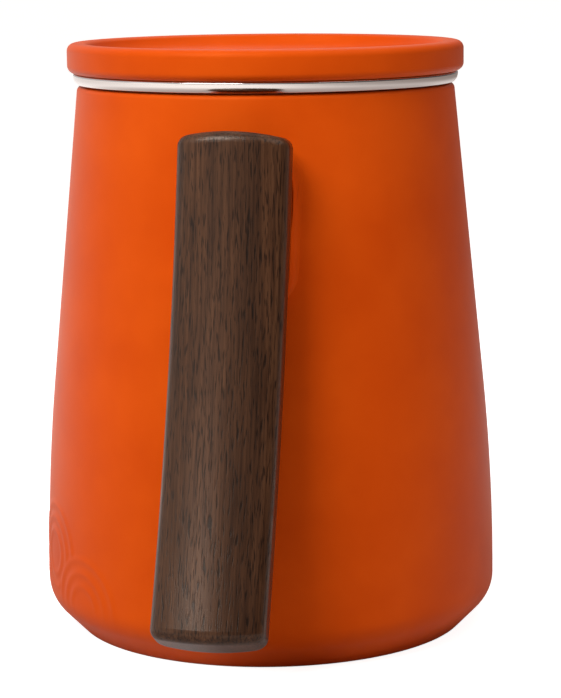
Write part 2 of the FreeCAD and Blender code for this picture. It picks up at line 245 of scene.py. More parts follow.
def satin_glaze():
    """Slip-cast stoneware under a satin orange glaze, sprayed on and fired: an even, opaque
    colour that drifts a little over some 17 mm, a soft broad sheen, and a faint ripple, about
    1.4 mm across, like the skin of an orange."""
    made, tree, place = started("satin_glaze")
    cloud = add_node(tree, "ShaderNodeTexNoise", Vector=place, Scale=1.0 / GLAZE_CLOUD, Detail=3.0)
    ripple = add_node(tree, "ShaderNodeTexNoise", Vector=place, Scale=1.0 / GLAZE_RIPPLE, Detail=2.0)
    bump = add_node(tree, "ShaderNodeBump", Strength=0.05, Distance=0.2 * MM, Height=ripple)
    return surfaced(made, Roughness=0.45, Specular_IOR_Level=0.18, Specular_Tint=linear("FFA860"),
                    Base_Color=toned(tree, cloud, (0.3, "CC4907"), (0.7, "D7520B")), Normal=bump)


def along_the_bar(tree, place):
    """Places with the bar's curve taken out: (depth, across, way along the bar)."""
    inward = add_node(tree, "ShaderNodeVectorMath", {"operation": "SUBTRACT"}, _0=bar_centre(),
                      _1=place)
    parts = add_node(tree, "ShaderNodeSeparateXYZ", Vector=inward).outputs
    level = add_node(tree, "ShaderNodeVectorMath", {"operation": "MULTIPLY"}, _0=inward,
                     _1=(1.0, 0.0, 1.0))
    depth = add_node(tree, "ShaderNodeVectorMath", {"operation": "LENGTH"}, _0=level)
    turn = add_node(tree, "ShaderNodeMath", {"operation": "ARCTAN2"}, _0=parts["Z"], _1=parts["X"])
    along = add_node(tree, "ShaderNodeMath", {"operation": "MULTIPLY"}, _0=turn, _1=HANDLE_CURVE)
    return add_node(tree, "ShaderNodeCombineXYZ", X=depth.outputs["Value"], Y=parts["Y"], Z=along)


def oiled_walnut():
    """Black walnut, milled, sanded and oiled: straight grain along the bar, with growth bands
    some 4 mm wide, fibre, short open pores and a low sheen. Real fibre and pores are too fine
    to show, so they are drawn as coarse as they need to show, about 0.5 and 0.3 mm wide."""
    made, tree, place = started("oiled_walnut")
    place = along_the_bar(tree, place)

    def drawn_out(share, **pattern):
        """A noise stretched along the bar: share is its width over its length."""
        where = add_node(tree, "ShaderNodeMapping", Vector=place, Scale=(1.0, 1.0, share))
        return add_node(tree, "ShaderNodeTexNoise", Vector=where, **pattern)

    bands = drawn_out(0.04, Scale=1.0 / WALNUT_BAND, Detail=2.0)
    fibre = drawn_out(0.03, Scale=1.0 / WALNUT_FIBRE, Detail=3.0)
    pores = drawn_out(0.1, Scale=1.0 / WALNUT_PORE, Detail=1.0)
    wood = toned(tree, bands, (0.35, "422919"), (0.68, "5A3B26"))
    streak = toned(tree, fibre, (0.3, "AC9F95"), (0.7, "FFFFFF"))
    pit = toned(tree, pores, (0.33, "85796F"), (0.47, "FFFFFF"))
    for darker in (streak, pit):
        layer = add_node(tree, "ShaderNodeMix", {"data_type": "RGBA", "blend_type": "MULTIPLY"},
                         _0=1.0, _6=wood, _7=darker)
        wood = layer.outputs[2]
    bump = add_node(tree, "ShaderNodeBump", Strength=0.4, Distance=0.06 * MM, Height=pit)
    return surfaced(made, Roughness=0.3, Specular_IOR_Level=0.3, Specular_Tint=linear("FFF2E4"),
                    Base_Color=wood, Normal=bump)


def polished_steel():
    """Stainless steel, spun and polished: a clear mirror with a slight haze."""
    made = bpy.data.materials.new("polished_steel")
    emptied(made)
    return surfaced(made, Metallic=1.0, Roughness=0.16, Base_Color=linear("C6BFBB"))


def bare_stoneware():
    """Bare fired stoneware, where the foot is wiped free of glaze: pale, dry and gritty. Its
    real grit is too fine to show, so it is drawn as coarse as it needs to show, 0.4 mm."""
    made, tree, place = started("bare_stoneware")
    grit = add_node(tree, "ShaderNodeTexNoise", Vector=place, Scale=1.0 / STONEWARE_GRIT, Detail=2.0)
    bump = add_node(tree, "ShaderNodeBump", Strength=0.3, Distance=0.1 * MM, Height=grit)
    return surfaced(made, Roughness=0.85, Specular_IOR_Level=0.3, Normal=bump,
                    Base_Color=toned(tree, grit, (0.35, "C9BBA8"), (0.6, "E2D8C9")))


def basket_steel():
    """Stainless sheet, perforated, rolled and electropolished: a soft grey gleam with the faint
    clouding, some 8 mm across, that the bath leaves."""
    made, tree, place = started("basket_steel")
    cloud = add_node(tree, "ShaderNodeTexNoise", Vector=place, Scale=1.0 / STEEL_CLOUD, Detail=3.0)
    haze = add_node(tree, "ShaderNodeMapRange", Value=cloud, From_Min=0.3, From_Max=0.7,
                    To_Min=0.2, To_Max=0.32)
    return surfaced(made, Metallic=1.0, Roughness=haze, Base_Color=linear("C4C1BC"))


def milky_silicone():
    """Moulded food silicone: milky, soft looking and a little clearer in places."""
    made, tree, place = started("moulded_silicone")
    cloud = add_node(tree, "ShaderNodeTexNoise", Vector=place, Scale=1.0 / SILICONE_CLOUD, Detail=2.0)
    return surfaced(made, Roughness=0.42, Subsurface_Weight=0.15, Subsurface_Scale=1.5 * MM,
                    Base_Color=toned(tree, cloud, (0.3, "DEDBD4"), (0.7, "EAE8E3")))


def amber_epoxy():
    """Cured epoxy: smooth, honey coloured and slightly cloudy."""
    made, tree, place = started("cured_epoxy")
    cloud = add_node(tree, "ShaderNodeTexNoise", Vector=place, Scale=1.0 / EPOXY_CLOUD, Detail=2.0)
    return surfaced(made, Roughness=0.3,
                    Base_Color=toned(tree, cloud, (0.3, "AE8040"), (0.7, "C29654")))


def dress(node, finish):
    """Gives every slot of a CAD node one finish."""
    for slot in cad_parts[node].material_slots:
        slot.material = finish


def rounded(corners):
    """An outline through (across, height, rounding) corners, each rounding turned into an arc."""
    outline = []
    for index, (across, height, rounding) in enumerate(corners):
        here = Vector((across, height))
        if rounding == 0.0:
            outline.append(here)
            continue
        back = (Vector(corners[index - 1][:2]) - here).normalized()
        on = (Vector(corners[(index + 1) % len(corners)][:2]) - here).normalized()
        half = back.angle(on) / 2.0
        centre = here + (back + on).normalized() * (rounding / math.sin(half))
        start = here + back * (rounding / math.tan(half)) - centre
        turn = start.angle_signed(here + on * (rounding / math.tan(half)) - centre)
        steps = max(2, math.ceil(abs(turn) / ARC_STEP))
        for step in range(steps + 1):
            outline.append(centre + Matrix.Rotation(-turn * step / steps, 2) @ start)
    return outline


def filled(outline, longest):
    """The same outline with long straight runs divided, so that smooth shading stays even."""
    fine = [outline[0]]
    for a, b in zip(outline, outline[1:]):
        steps = max(1, math.ceil((b - a).length / longest))
        fine += [a.lerp(b, (step + 1) / steps) for step in range(steps)]
    return fine


def smoothed(mesh):
    """Smooth shading, apart from the sharp edges."""
    mesh.shade_smooth()
    mesh.set_sharp_from_angle(angle=SHARP_EDGE)


def placed(name, data):
    """A mesh, lamp or camera as an object in the scene, at the origin."""
    thing = bpy.data.objects.new(name, data)
    bpy.context.scene.collection.objects.link(thing)
    return thing


def new_piece(name, shape, finish):
    """A closed mesh piece: its doubles merged, its faces outwards, smooth shaded."""
    points, faces = shape
    mesh = bpy.data.meshes.new(name)
    mesh.from_pydata(points, [], faces)
    shell = bmesh.new()
    shell.from_mesh(mesh)
    bmesh.ops.remove_doubles(shell, verts=shell.verts, dist=WELD)
    bmesh.ops.recalc_face_normals(shell, faces=shell.faces)
    shell.to_mesh(mesh)
    shell.free()
    smoothed(mesh)
    mesh.materials.append(finish)
    return placed(name, mesh)


def turned(outline, steps, closed=False, push=None):
    """Points and faces of an outline turned round the mug's axis. Its ends are on the axis,
    or it is closed. push gives a point's move outwards from its angle and height."""
    points, rows = [], []
    for spot in outline:
        if spot.x < ON_AXIS:
            rows.append([len(points)] * steps)
            points.append(Vector((0, 0, spot.y)))
            continue
        rows.append(range(len(points), len(points) + steps))
        for step in range(steps):
            angle = 2.0 * math.pi * step / steps
            reach = spot.x + (push(angle, spot) if push else 0.0)
            points.append(Vector((reach * math.cos(angle), reach * math.sin(angle), spot.y)))
    faces = []
    pairs = list(zip(rows, rows[1:])) + ([(rows[-1], rows[0])] if closed else [])
    for low, high in pairs:
        for step in range(steps):
            on = (step + 1) % steps
            ring = [low[step], low[on], high[on], high[step]]
            faces.append(tuple(dict.fromkeys(ring)))
    return points, faces


def loft(rings):
    """Points and faces of a closed solid through rings of as many points each."""
    count = len(rings[0])
    points = [spot for ring in rings for spot in ring]
    faces = []
    for layer in range(len(rings) - 1):
        for step in range(count):
            on = (step + 1) % count
            low, high = layer * count, (layer + 1) * count
            faces.append((low + step, low + on, high + on, high + step))
    faces.append(tuple(reversed(range(count))))
    faces.append(tuple(range(len(points) - count, len(points))))
    return points, faces


def together(*shapes):
    """Several shapes' points and faces as one shape."""
    points, faces = [], []
    for more_points, more_faces in shapes:
        faces += [tuple(index + len(points) for index in face) for face in more_faces]
        points += more_points
    return points, faces


def wall_lean():
    """The lean of the straight upper wall, which the belly's arc carries on. Each pass brings
    it closer, and it has settled long before the last."""
    straight = MUG_HEIGHT - BELLY_HEIGHT
    curved = BELLY_HEIGHT - CORNER_HEIGHT
    passes = 40
    lean = 0.0
    for _ in range(passes):
        lean = math.atan((MUG_MAX_RADIUS - LIP_RADIUS - curved * math.tan(lean / 2.0)) / straight)
    return lean


LEAN = wall_lean()


def wall_radius(height):
    """The outside radius at a height, on the belly's arc or on the straight wall above it."""
    if height >= BELLY_HEIGHT:
        return LIP_RADIUS + (MUG_HEIGHT - height) * math.tan(LEAN)
    curve = (BELLY_HEIGHT - CORNER_HEIGHT) / math.sin(LEAN)
    rise = max(0.0, height - CORNER_HEIGHT)
    return MUG_MAX_RADIUS - curve + math.sqrt(curve ** 2 - rise ** 2)


def corner_point(sweep):
    """A point on the mug's lower corner, so far round it from the wall towards the foot."""
    return Vector((MUG_MAX_RADIUS - CORNER_RADIUS + CORNER_RADIUS * math.cos(sweep),
                   CORNER_HEIGHT - CORNER_RADIUS * math.sin(sweep)))


def mug_outline():
    """The mug's half section, from under the foot, up the outside, over the lip and down inside."""
    corner_end = corner_point(CORNER_SWEEP)
    foot = corner_end.x - corner_end.y / math.tan(CORNER_SWEEP)
    foot_in = foot - FOOT_WIDTH
    under = rounded([(0, FOOT_RECESS, 0), (foot_in - FOOT_RECESS, FOOT_RECESS, FOOT_ROUND),
                     (foot_in, 0, FOOT_ROUND / 2.0), (foot, 0, FOOT_ROUND),
                     (corner_end.x, corner_end.y, 0)])
    corner = [corner_point(CORNER_SWEEP * step / CORNER_STEPS)
              for step in range(CORNER_STEPS - 1, -1, -1)]
    wave_top = WAVE_LOW + WAVE_ROW_RISE * (len(WAVE_ROWS) - 1) + WAVE_RADIUS + WAVE_SPACING
    side, height = [], CORNER_HEIGHT
    while height < MUG_HEIGHT - 2.0 * LIP_ROUND:
        height += WAVE_ROW_STEP if height < wave_top else PLAIN_ROW_STEP
        side.append(Vector((wall_radius(height), height)))
    side = [spot for spot in side if spot.y < MUG_HEIGHT - 1.5 * LIP_ROUND]
    mouth = LIP_RADIUS - WALL
    lip = rounded([(side[-1].x, side[-1].y, 0), (LIP_RADIUS, MUG_HEIGHT, LIP_ROUND),
                   (mouth, MUG_HEIGHT, LIP_ROUND), (mouth, MUG_HEIGHT - 2.0 * LIP_ROUND, 0)])[1:]
    inside = [Vector((wall_radius(spot.y) - WALL, spot.y))
              for spot in reversed(side[::INSIDE_ROW_SHARE])
              if FLOOR + INNER_ROUND < spot.y < MUG_HEIGHT - 3.0 * LIP_ROUND]
    well = rounded([(inside[-1].x, inside[-1].y, 0), (MUG_MAX_RADIUS - WALL, FLOOR, INNER_ROUND),
                    (0, FLOOR, 0)])[1:]
    return filled(under, LONG_RUN) + corner + side + lip + inside + filled(well, LONG_RUN)


def wave_centres():
    """Where the scallops stand: (distance round the wall, height), lowest row first."""
    for row, count in enumerate(WAVE_ROWS):
        for place in range(count):
            yield (place - (count - 1) / 2.0) * WAVE_PITCH, WAVE_LOW + row * WAVE_ROW_RISE


def wave_relief(angle, spot):
    """How far the raised arcs stand out at a place on the outside: each scallop's ridges,
    where no scallop of a lower row lies over them."""
    if spot.x < MUG_MAX_RADIUS - CORNER_RADIUS or abs(spot.x - wall_radius(spot.y)) > WALL / 2.0:
        return 0.0
    turn = (angle - WAVE_MIDDLE + math.pi) % (2.0 * math.pi) - math.pi
    along = turn * MUG_MAX_RADIUS
    for middle, height in wave_centres():
        distance = math.hypot(along - middle, spot.y - height)
        if distance > WAVE_RADIUS + WAVE_EDGE:
            continue
        ridge = max(math.exp(-((distance - WAVE_RADIUS + step * WAVE_SPACING) / WAVE_WIDTH) ** 2)
                    for step in range(WAVE_RIDGES))
        fade = min(1.0, max(0.0, (spot.y - CORNER_HEIGHT + WAVE_FADE / 2.0) / WAVE_FADE))
        return WAVE_HEIGHT * ridge * fade
    return 0.0


def glazed_mug(finish, bare):
    """The slip-cast mug itself, with its raised waves and its bare foot ring."""
    piece = new_piece("mug_glazed", turned(mug_outline(), MUG_STEPS, push=wave_relief), finish)
    piece.data.materials.append(bare)
    for face in piece.data.polygons:
        reach = math.hypot(face.center.x, face.center.y)
        if face.center.z < FOOT_ROUND / 2.0 and reach > LIP_RADIUS - WALL:
            face.material_index = 1
    return piece


def bar_centre():
    """The middle of the circle that the bar's curve follows, far outside the handle."""
    reach = HANDLE_CURVE + HANDLE_THICKNESS
    top = MUG_HEIGHT - HANDLE_TOP_DROP
    inner = wall_radius(top) + HANDLE_TOP_GAP
    return Vector((inner + reach * math.cos(HANDLE_TOP_LEAN), 0,
                   top + reach * math.sin(HANDLE_TOP_LEAN)))


def handle_point(distance, depth):
    """A point on the handle's mid plane: down from its top, and in from its outer face."""
    angle = HANDLE_TOP_LEAN + distance / (HANDLE_CURVE + HANDLE_THICKNESS / 2.0)
    radius = HANDLE_CURVE + depth
    return bar_centre() - Vector((radius * math.cos(angle), 0, radius * math.sin(angle)))


def bar_face(height, depth):
    """How far out one of the bar's curved layers lies at a height."""
    centre = bar_centre()
    return centre.x - math.sqrt((HANDLE_CURVE + depth) ** 2 - (centre.z - height) ** 2)


def pad_outline(width, height, corner, middle, grow=0.0):
    """A rounded rectangle in the YZ plane, as (across, height) points."""
    half, tall = width / 2.0 + grow, height / 2.0 + grow
    ring = rounded([(half, middle + tall, corner + grow), (-half, middle + tall, corner + grow),
                    (-half, middle - tall, corner + grow), (half, middle - tall, corner + grow)])
    return filled(ring + ring[:1], PAD_RUN)[:-1]


def lug_pad():
    """The pad that flows out of the wall to the bar's back. Its first ring is sunk in the wall,
    the next ones make the flare, and the last lies on the bar."""
    middle = handle_point(LUG_TOP_DROP, HANDLE_THICKNESS).z - LUG_HEIGHT / 2.0
    width = HANDLE_WIDTH - 2.0 * LUG_SIDE_INSET

    def pad_ring(grow, share):
        """One outline of the pad, a share of the way from the wall to the bar's back."""
        ring = []
        for across, height in pad_outline(width, LUG_HEIGHT, LUG_ROUND, middle, grow):
            wall = math.sqrt(wall_radius(height) ** 2 - across ** 2)
            back = bar_face(height, HANDLE_THICKNESS)
            ring.append(Vector((wall + (back - wall) * share, across, height)))
        return ring

    rings = [pad_ring(LUG_FLARE, -1.0)]
    for step in range(FLARE_STEPS + 1):
        turn = math.pi / 2.0 * step / FLARE_STEPS
        rings.append(pad_ring(LUG_FLARE * (1.0 - math.sin(turn)),
                              LUG_FLARE_SHARE * (1.0 - math.cos(turn))))
    rings.append(pad_ring(0.0, 1.0))
    return loft(rings)


def lug_tongue(middle):
    """The lug's tongue, which reaches into the bar's slot."""
    outline = pad_outline(TONGUE_WIDTH, TONGUE_HEIGHT, TONGUE_ROUND, middle)
    return loft([[Vector((bar_face(height, depth), across, height)) for across, height in outline]
                 for depth in (HANDLE_THICKNESS, HANDLE_THICKNESS - TONGUE_DEPTH)])


def handle_lug(finish):
    """The lug, with its tongue, leaning sideways as the handle does."""
    pivot = handle_point(LUG_TOP_DROP + LUG_HEIGHT / 2.0, HANDLE_THICKNESS)
    points, faces = together(lug_pad(), lug_tongue(pivot.z))
    tip = Matrix.Rotation(-HANDLE_SKEW, 3, "X")
    points = [pivot + tip @ (spot - pivot) for spot in points]
    return new_piece("handle_lug", (points, faces), finish)


def lid_outline():
    """The lid's half section, from the dish's middle, over the rim, down to the plug and back."""
    low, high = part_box("lid")
    radius, top = high[0], high[2]
    bottom = low[2] + LID_PLUG_DEPTH
    dish = radius - LID_RIM_WIDTH
    floor = top - LID_DISH_DEPTH
    seal_low, seal_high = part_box("lid_seal")
    plug = seal_high[0] - PLUG_BEHIND_SEAL
    groove = seal_high[0] - SEAL_THICKNESS
    hollow = plug - LID_THICKNESS
    return rounded([
        (0, floor, 0), (dish - LID_DISH_SLOPE, floor, LID_DISH_ROUND),
        (dish, top, LID_RIM_CREST), (radius, top, LID_EDGE_ROUND),
        (radius, bottom, LID_EDGE_ROUND), (plug, bottom, 0), (plug, seal_high[2], 0),
        (groove, seal_high[2], 0), (groove, seal_low[2], 0), (plug, seal_low[2], 0),
        (plug, low[2], LID_EDGE_ROUND / 2.0), (hollow, low[2], LID_EDGE_ROUND / 2.0),
        (hollow, floor - LID_THICKNESS, LID_EDGE_ROUND), (0, floor - LID_THICKNESS, 0)])


def dished_lid(finish):
    """The lid with its dish and its plug."""
    return new_piece("lid_glazed", turned(filled(lid_outline(), LID_RUN), RING_STEPS), finish)


def rim_outline():
    """The steel ring's half section: its rounded face outside, its flat flange and its neck."""
    low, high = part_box("infuser_rim")
    outer, top = high[0], high[2]
    skirt_low = top - RIM_HEIGHT
    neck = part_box("infuser_wall")[1][0]
    return rounded([
        (outer, top, RIM_TOP_ROUND), (outer - RIM_FACE_TAPER, top - RIM_FACE_DROP, RIM_FACE_ROUND),
        (outer - RIM_TAPER, skirt_low, RIM_LOW_ROUND),
        (outer - RIM_WIDTH, skirt_low, 0), (outer - RIM_WIDTH, top - SHEET, 0),
        (neck + SHEET, top - SHEET, 0), (neck + SHEET, low[2], 0), (neck, low[2], 0),
        (neck, top, RIM_INNER_ROUND)])


def steel_rim(finish):
    """The polished ring that shows between the lid and the mug."""
    return new_piece("rim_polished", turned(rim_outline(), RING_STEPS, closed=True), finish)


def sheet_tree(name, sizes):
    """A new node tree for perforated sheet, with a named input for each of its sizes."""
    tree = bpy.data.node_groups.new(name, "GeometryNodeTree")
    for label, kind in sizes:
        tree.interface.new_socket(name=label, in_out="INPUT", socket_type=kind)
    tree.interface.new_socket(name="Geometry", in_out="OUTPUT", socket_type="NodeSocketGeometry")
    return tree, add_node(tree, "NodeGroupInput").outputs


def hole_cells(tree, columns, rows, hole_share, middle, chosen):
    """A flat honeycomb of cells, one unit apart, each with a round hole. middle is the place
    in it that comes to the origin, and chosen says which cells are kept."""
    edge = add_node(tree, "GeometryNodeCurvePrimitiveCircle", Resolution=6,
                    Radius=1.0 / math.sqrt(3.0))
    edge = add_node(tree, "GeometryNodeTransform", Geometry=edge, Rotation=(0.0, 0.0, math.pi / 2.0))
    radius = add_node(tree, "ShaderNodeMath", {"operation": "MULTIPLY"}, _0=hole_share, _1=0.5)
    hole = add_node(tree, "GeometryNodeCurvePrimitiveCircle", Resolution=HOLE_SIDES, Radius=radius)
    both = add_node(tree, "GeometryNodeJoinGeometry", Geometry=[edge, hole])
    cell = add_node(tree, "GeometryNodeFillCurve", {"mode": "NGONS"}, Curve=both)
    index = add_node(tree, "GeometryNodeInputIndex")
    rows_done = add_node(tree, "ShaderNodeMath", {"operation": "DIVIDE"}, _0=index, _1=columns)
    row = add_node(tree, "ShaderNodeMath", {"operation": "FLOOR"}, _0=rows_done)
    column = add_node(tree, "ShaderNodeMath", {"operation": "MODULO"}, _0=index, _1=columns)
    odd = add_node(tree, "ShaderNodeMath", {"operation": "MODULO"}, _0=row, _1=2.0)
    across = add_node(tree, "ShaderNodeMath", {"operation": "MULTIPLY_ADD"}, _0=odd, _1=0.5,
                      _2=column)
    square = add_node(tree, "ShaderNodeCombineXYZ", X=across, Y=row)
    centred = add_node(tree, "ShaderNodeVectorMath", {"operation": "SUBTRACT"}, _0=square, _1=middle)
    spot = add_node(tree, "ShaderNodeVectorMath", {"operation": "MULTIPLY"}, _0=centred,
                    _1=(1.0, HEX_ROW, 0.0))
    count = add_node(tree, "ShaderNodeMath", {"operation": "MULTIPLY"}, _0=columns, _1=rows)
    points = add_node(tree, "GeometryNodePoints", Count=count, Position=spot)
    cells = add_node(tree, "GeometryNodeInstanceOnPoints", Points=points, Selection=chosen,
                     Instance=cell)
    flat = add_node(tree, "GeometryNodeRealizeInstances", Geometry=cells)
    return add_node(tree, "GeometryNodeMergeByDistance", Geometry=flat, Distance=CELL_WELD)


def thickened(tree, surface, spot, given):
    """Moves the flat sheet's points to their spots, and gives the sheet its thickness."""
    shaped = add_node(tree, "GeometryNodeSetPosition", Geometry=surface, Position=spot)
    welded = add_node(tree, "GeometryNodeMergeByDistance", Geometry=shaped, Distance=SEAM_WELD)
    outside = add_node(tree, "GeometryNodeExtrudeMesh", Mesh=welded,
                       Offset_Scale=given["Thickness"], Individual=False)
    inside = add_node(tree, "GeometryNodeFlipFaces", Mesh=welded)
    both = add_node(tree, "GeometryNodeJoinGeometry", Geometry=[outside, inside])
    whole = add_node(tree, "GeometryNodeMergeByDistance", Geometry=both, Distance=WELD)
    real = add_node(tree, "GeometryNodeRealizeInstances", Geometry=whole)
    dressed = add_node(tree, "GeometryNodeSetMaterial", Geometry=real, Material=given["Finish"])
    add_node(tree, "NodeGroupOutput", _0=dressed)


def wall_tree():
    """Perforated sheet rolled into a tapered tube, its seam welded."""
    tree, given = sheet_tree("perforated_tube", [
        ("Columns", "NodeSocketInt"), ("Rows", "NodeSocketInt"), ("Hole Share", "NodeSocketFloat"),
        ("Low Radius", "NodeSocketFloat"), ("High Radius", "NodeSocketFloat"),
        ("Low Height", "NodeSocketFloat"), ("High Height", "NodeSocketFloat"),
        ("Thickness", "NodeSocketFloat"), ("Finish", "NodeSocketMaterial")])
    flat = hole_cells(tree, given["Columns"], given["Rows"], given["Hole Share"],
                      (0.0, 0.0, 0.0), True)
    place = add_node(tree, "ShaderNodeSeparateXYZ",
                     Vector=add_node(tree, "GeometryNodeInputPosition")).outputs
    whole_turns = add_node(tree, "ShaderNodeMath", {"operation": "MULTIPLY"}, _0=place["X"],
                           _1=2.0 * math.pi)
    turn = add_node(tree, "ShaderNodeMath", {"operation": "DIVIDE"}, _0=whole_turns,
                    _1=given["Columns"])
    gaps = add_node(tree, "ShaderNodeMath", {"operation": "SUBTRACT"}, _0=given["Rows"], _1=1.0)
    tall = add_node(tree, "ShaderNodeMath", {"operation": "MULTIPLY"}, _0=gaps, _1=HEX_ROW)
    share = add_node(tree, "ShaderNodeMath", {"operation": "DIVIDE"}, _0=place["Y"], _1=tall)

    def between(low, high):
        """A size that goes from one given value to another up the tube."""
        span = add_node(tree, "ShaderNodeMath", {"operation": "SUBTRACT"}, _0=given[high],
                        _1=given[low])
        return add_node(tree, "ShaderNodeMath", {"operation": "MULTIPLY_ADD"}, _0=span, _1=share,
                        _2=given[low])

    radius = between("Low Radius", "High Radius")
    round_spot = {}
    for axis, operation in (("X", "COSINE"), ("Y", "SINE")):
        part = add_node(tree, "ShaderNodeMath", {"operation": operation}, _0=turn)
        round_spot[axis] = add_node(tree, "ShaderNodeMath", {"operation": "MULTIPLY"}, _0=radius,
                                    _1=part)
    spot = add_node(tree, "ShaderNodeCombineXYZ", Z=between("Low Height", "High Height"),
                    **round_spot)
    thickened(tree, flat, spot, given)
    return tree


def base_tree():
    """Perforated sheet cut to a disc and pressed into a shallow dome."""
    tree, given = sheet_tree("perforated_disc", [
        ("Cells", "NodeSocketInt"), ("Pitch", "NodeSocketFloat"), ("Hole Share", "NodeSocketFloat"),
        ("Reach", "NodeSocketFloat"), ("Dome Radius", "NodeSocketFloat"),
        ("Height", "NodeSocketFloat"), ("Dome", "NodeSocketFloat"),
        ("Thickness", "NodeSocketFloat"), ("Finish", "NodeSocketMaterial")])
    place = add_node(tree, "GeometryNodeInputPosition")
    middle = add_node(tree, "ShaderNodeMath", {"operation": "MULTIPLY_ADD"}, _0=given["Cells"],
                      _1=0.5, _2=-0.5)
    cells_out = add_node(tree, "ShaderNodeVectorMath", {"operation": "LENGTH"}, _0=place)
    reach = add_node(tree, "ShaderNodeMath", {"operation": "DIVIDE"}, _0=given["Reach"],
                     _1=given["Pitch"])
    near = add_node(tree, "ShaderNodeMath", {"operation": "LESS_THAN"},
                    _0=cells_out.outputs["Value"], _1=reach)
    flat = hole_cells(tree, given["Cells"], given["Cells"], given["Hole Share"], middle, near)
    sized = add_node(tree, "ShaderNodeVectorMath", {"operation": "SCALE"}, _0=place,
                     Scale=given["Pitch"])
    out = add_node(tree, "ShaderNodeVectorMath", {"operation": "LENGTH"}, _0=sized)
    share = add_node(tree, "ShaderNodeMath", {"operation": "DIVIDE"}, _0=out.outputs["Value"],
                     _1=given["Dome Radius"])
    squared = add_node(tree, "ShaderNodeMath", {"operation": "MULTIPLY"}, _0=share, _1=share)
    fall = add_node(tree, "ShaderNodeMath", {"operation": "MINIMUM"}, _0=squared, _1=1.0)
    rest = add_node(tree, "ShaderNodeMath", {"operation": "SUBTRACT"}, _0=1.0, _1=fall)
    height = add_node(tree, "ShaderNodeMath", {"operation": "MULTIPLY_ADD"}, _0=rest,
                      _1=given["Dome"], _2=given["Height"])
    spot = add_node(tree, "ShaderNodeVectorMath", {"operation": "ADD"}, _0=sized,
                    _1=add_node(tree, "ShaderNodeCombineXYZ", Z=height))
    thickened(tree, flat, spot, given)
    return tree


def from_tree(name, tree, **sizes):
    """Runs a tree on an empty carrier and keeps its result as a plain mesh piece."""
    carrier = placed(name + "_carrier", bpy.data.meshes.new(name + "_carrier"))
    runner = carrier.modifiers.new("sheet", "NODES")
    runner.node_group = tree
    for item in tree.interface.items_tree:
        if item.in_out == "INPUT":
            runner[item.identifier] = sizes[item.name.replace(" ", "_")]
    ready = carrier.evaluated_get(bpy.context.evaluated_depsgraph_get())
    mesh = bpy.data.meshes.new_from_object(ready)
    mesh.name = name
    bpy.data.objects.remove(carrier)
    smoothed(mesh)
    return placed(name, mesh)


def basket_radius(height):
    """The tube's outside radius: straight in the ring's neck, tapered below it."""
    low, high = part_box("infuser_wall")
    neck_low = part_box("infuser_rim")[0][2]
    return high[0] - BASKET_TAPER * max(0.0, neck_low - height) / (neck_low - low[2])


def plain_band(*heights):
    """A plain stretch of the tube through these heights, highest first. It is a hair thicker
    than the perforated sheet that it covers."""
    outside = [Vector((basket_radius(height) + PLAIN_PROUD, height)) for height in heights]
    inside = [Vector((basket_radius(height) - SHEET - PLAIN_PROUD, height)) for height in heights]
    return turned(inside[:1] + outside + inside[:0:-1], RING_STEPS, closed=True)


def basket_wall(finish):
    """The perforated tube, and the plain stretches that it has at both ends. The perforated
    sheet ends in a zigzag, and a plain stretch begins just inside its notches."""
    low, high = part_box("infuser_wall")
    neck_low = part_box("infuser_rim")[0][2]
    first, last = low[2] + PLAIN_LOW, neck_low - PLAIN_TOP
    radius = basket_radius((first + last) / 2.0)
    holes = from_tree(
        "basket_perforated", wall_tree(), Columns=round(2.0 * math.pi * radius / HOLE_PITCH),
        Rows=round((last - first) / (HOLE_PITCH * HEX_ROW)) + 1, Hole_Share=HOLE_SHARE,
        Low_Radius=basket_radius(first) - SHEET, High_Radius=basket_radius(last) - SHEET,
        Low_Height=first, High_Height=last, Thickness=SHEET, Finish=finish)
    notch = HOLE_PITCH / math.sqrt(12.0) - PLAIN_PROUD
    bands = together(plain_band(first - notch, low[2]),
                     plain_band(high[2], neck_low, last + notch))
    return holes, new_piece("basket_bands", bands, finish)


def basket_base(finish):
    """The domed perforated disc, and its plain edge turned up outside the tube."""
    low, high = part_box("infuser_base")
    bottom, outer = low[2], high[0]
    tube_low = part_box("infuser_wall")[0][2]
    inner, lip = basket_radius(tube_low) + PLAIN_PROUD, tube_low + BASE_LIP
    cells = 2 * math.ceil(BASE_HOLES_REACH / HOLE_PITCH) + BASE_SPARE_CELLS
    holes = from_tree(
        "base_perforated", base_tree(), Cells=cells, Pitch=HOLE_PITCH, Hole_Share=HOLE_SHARE,
        Reach=BASE_HOLES_REACH, Dome_Radius=inner - BASE_FLAT_WIDTH, Height=bottom,
        Dome=BASE_DISH, Thickness=SHEET, Finish=finish)
    plain = BASE_HOLES_REACH - HOLE_PITCH / 2.0
    covered = bottom + SHEET + PLAIN_PROUD
    outline = rounded([
        (plain, bottom, 0), (inner + SHEET, bottom, SHEET), (outer, lip, 0),
        (outer - SHEET, lip, 0), (inner, covered, 0), (plain, covered, 0)])
    return holes, new_piece("base_cup", turned(outline, RING_STEPS, closed=True), finish)


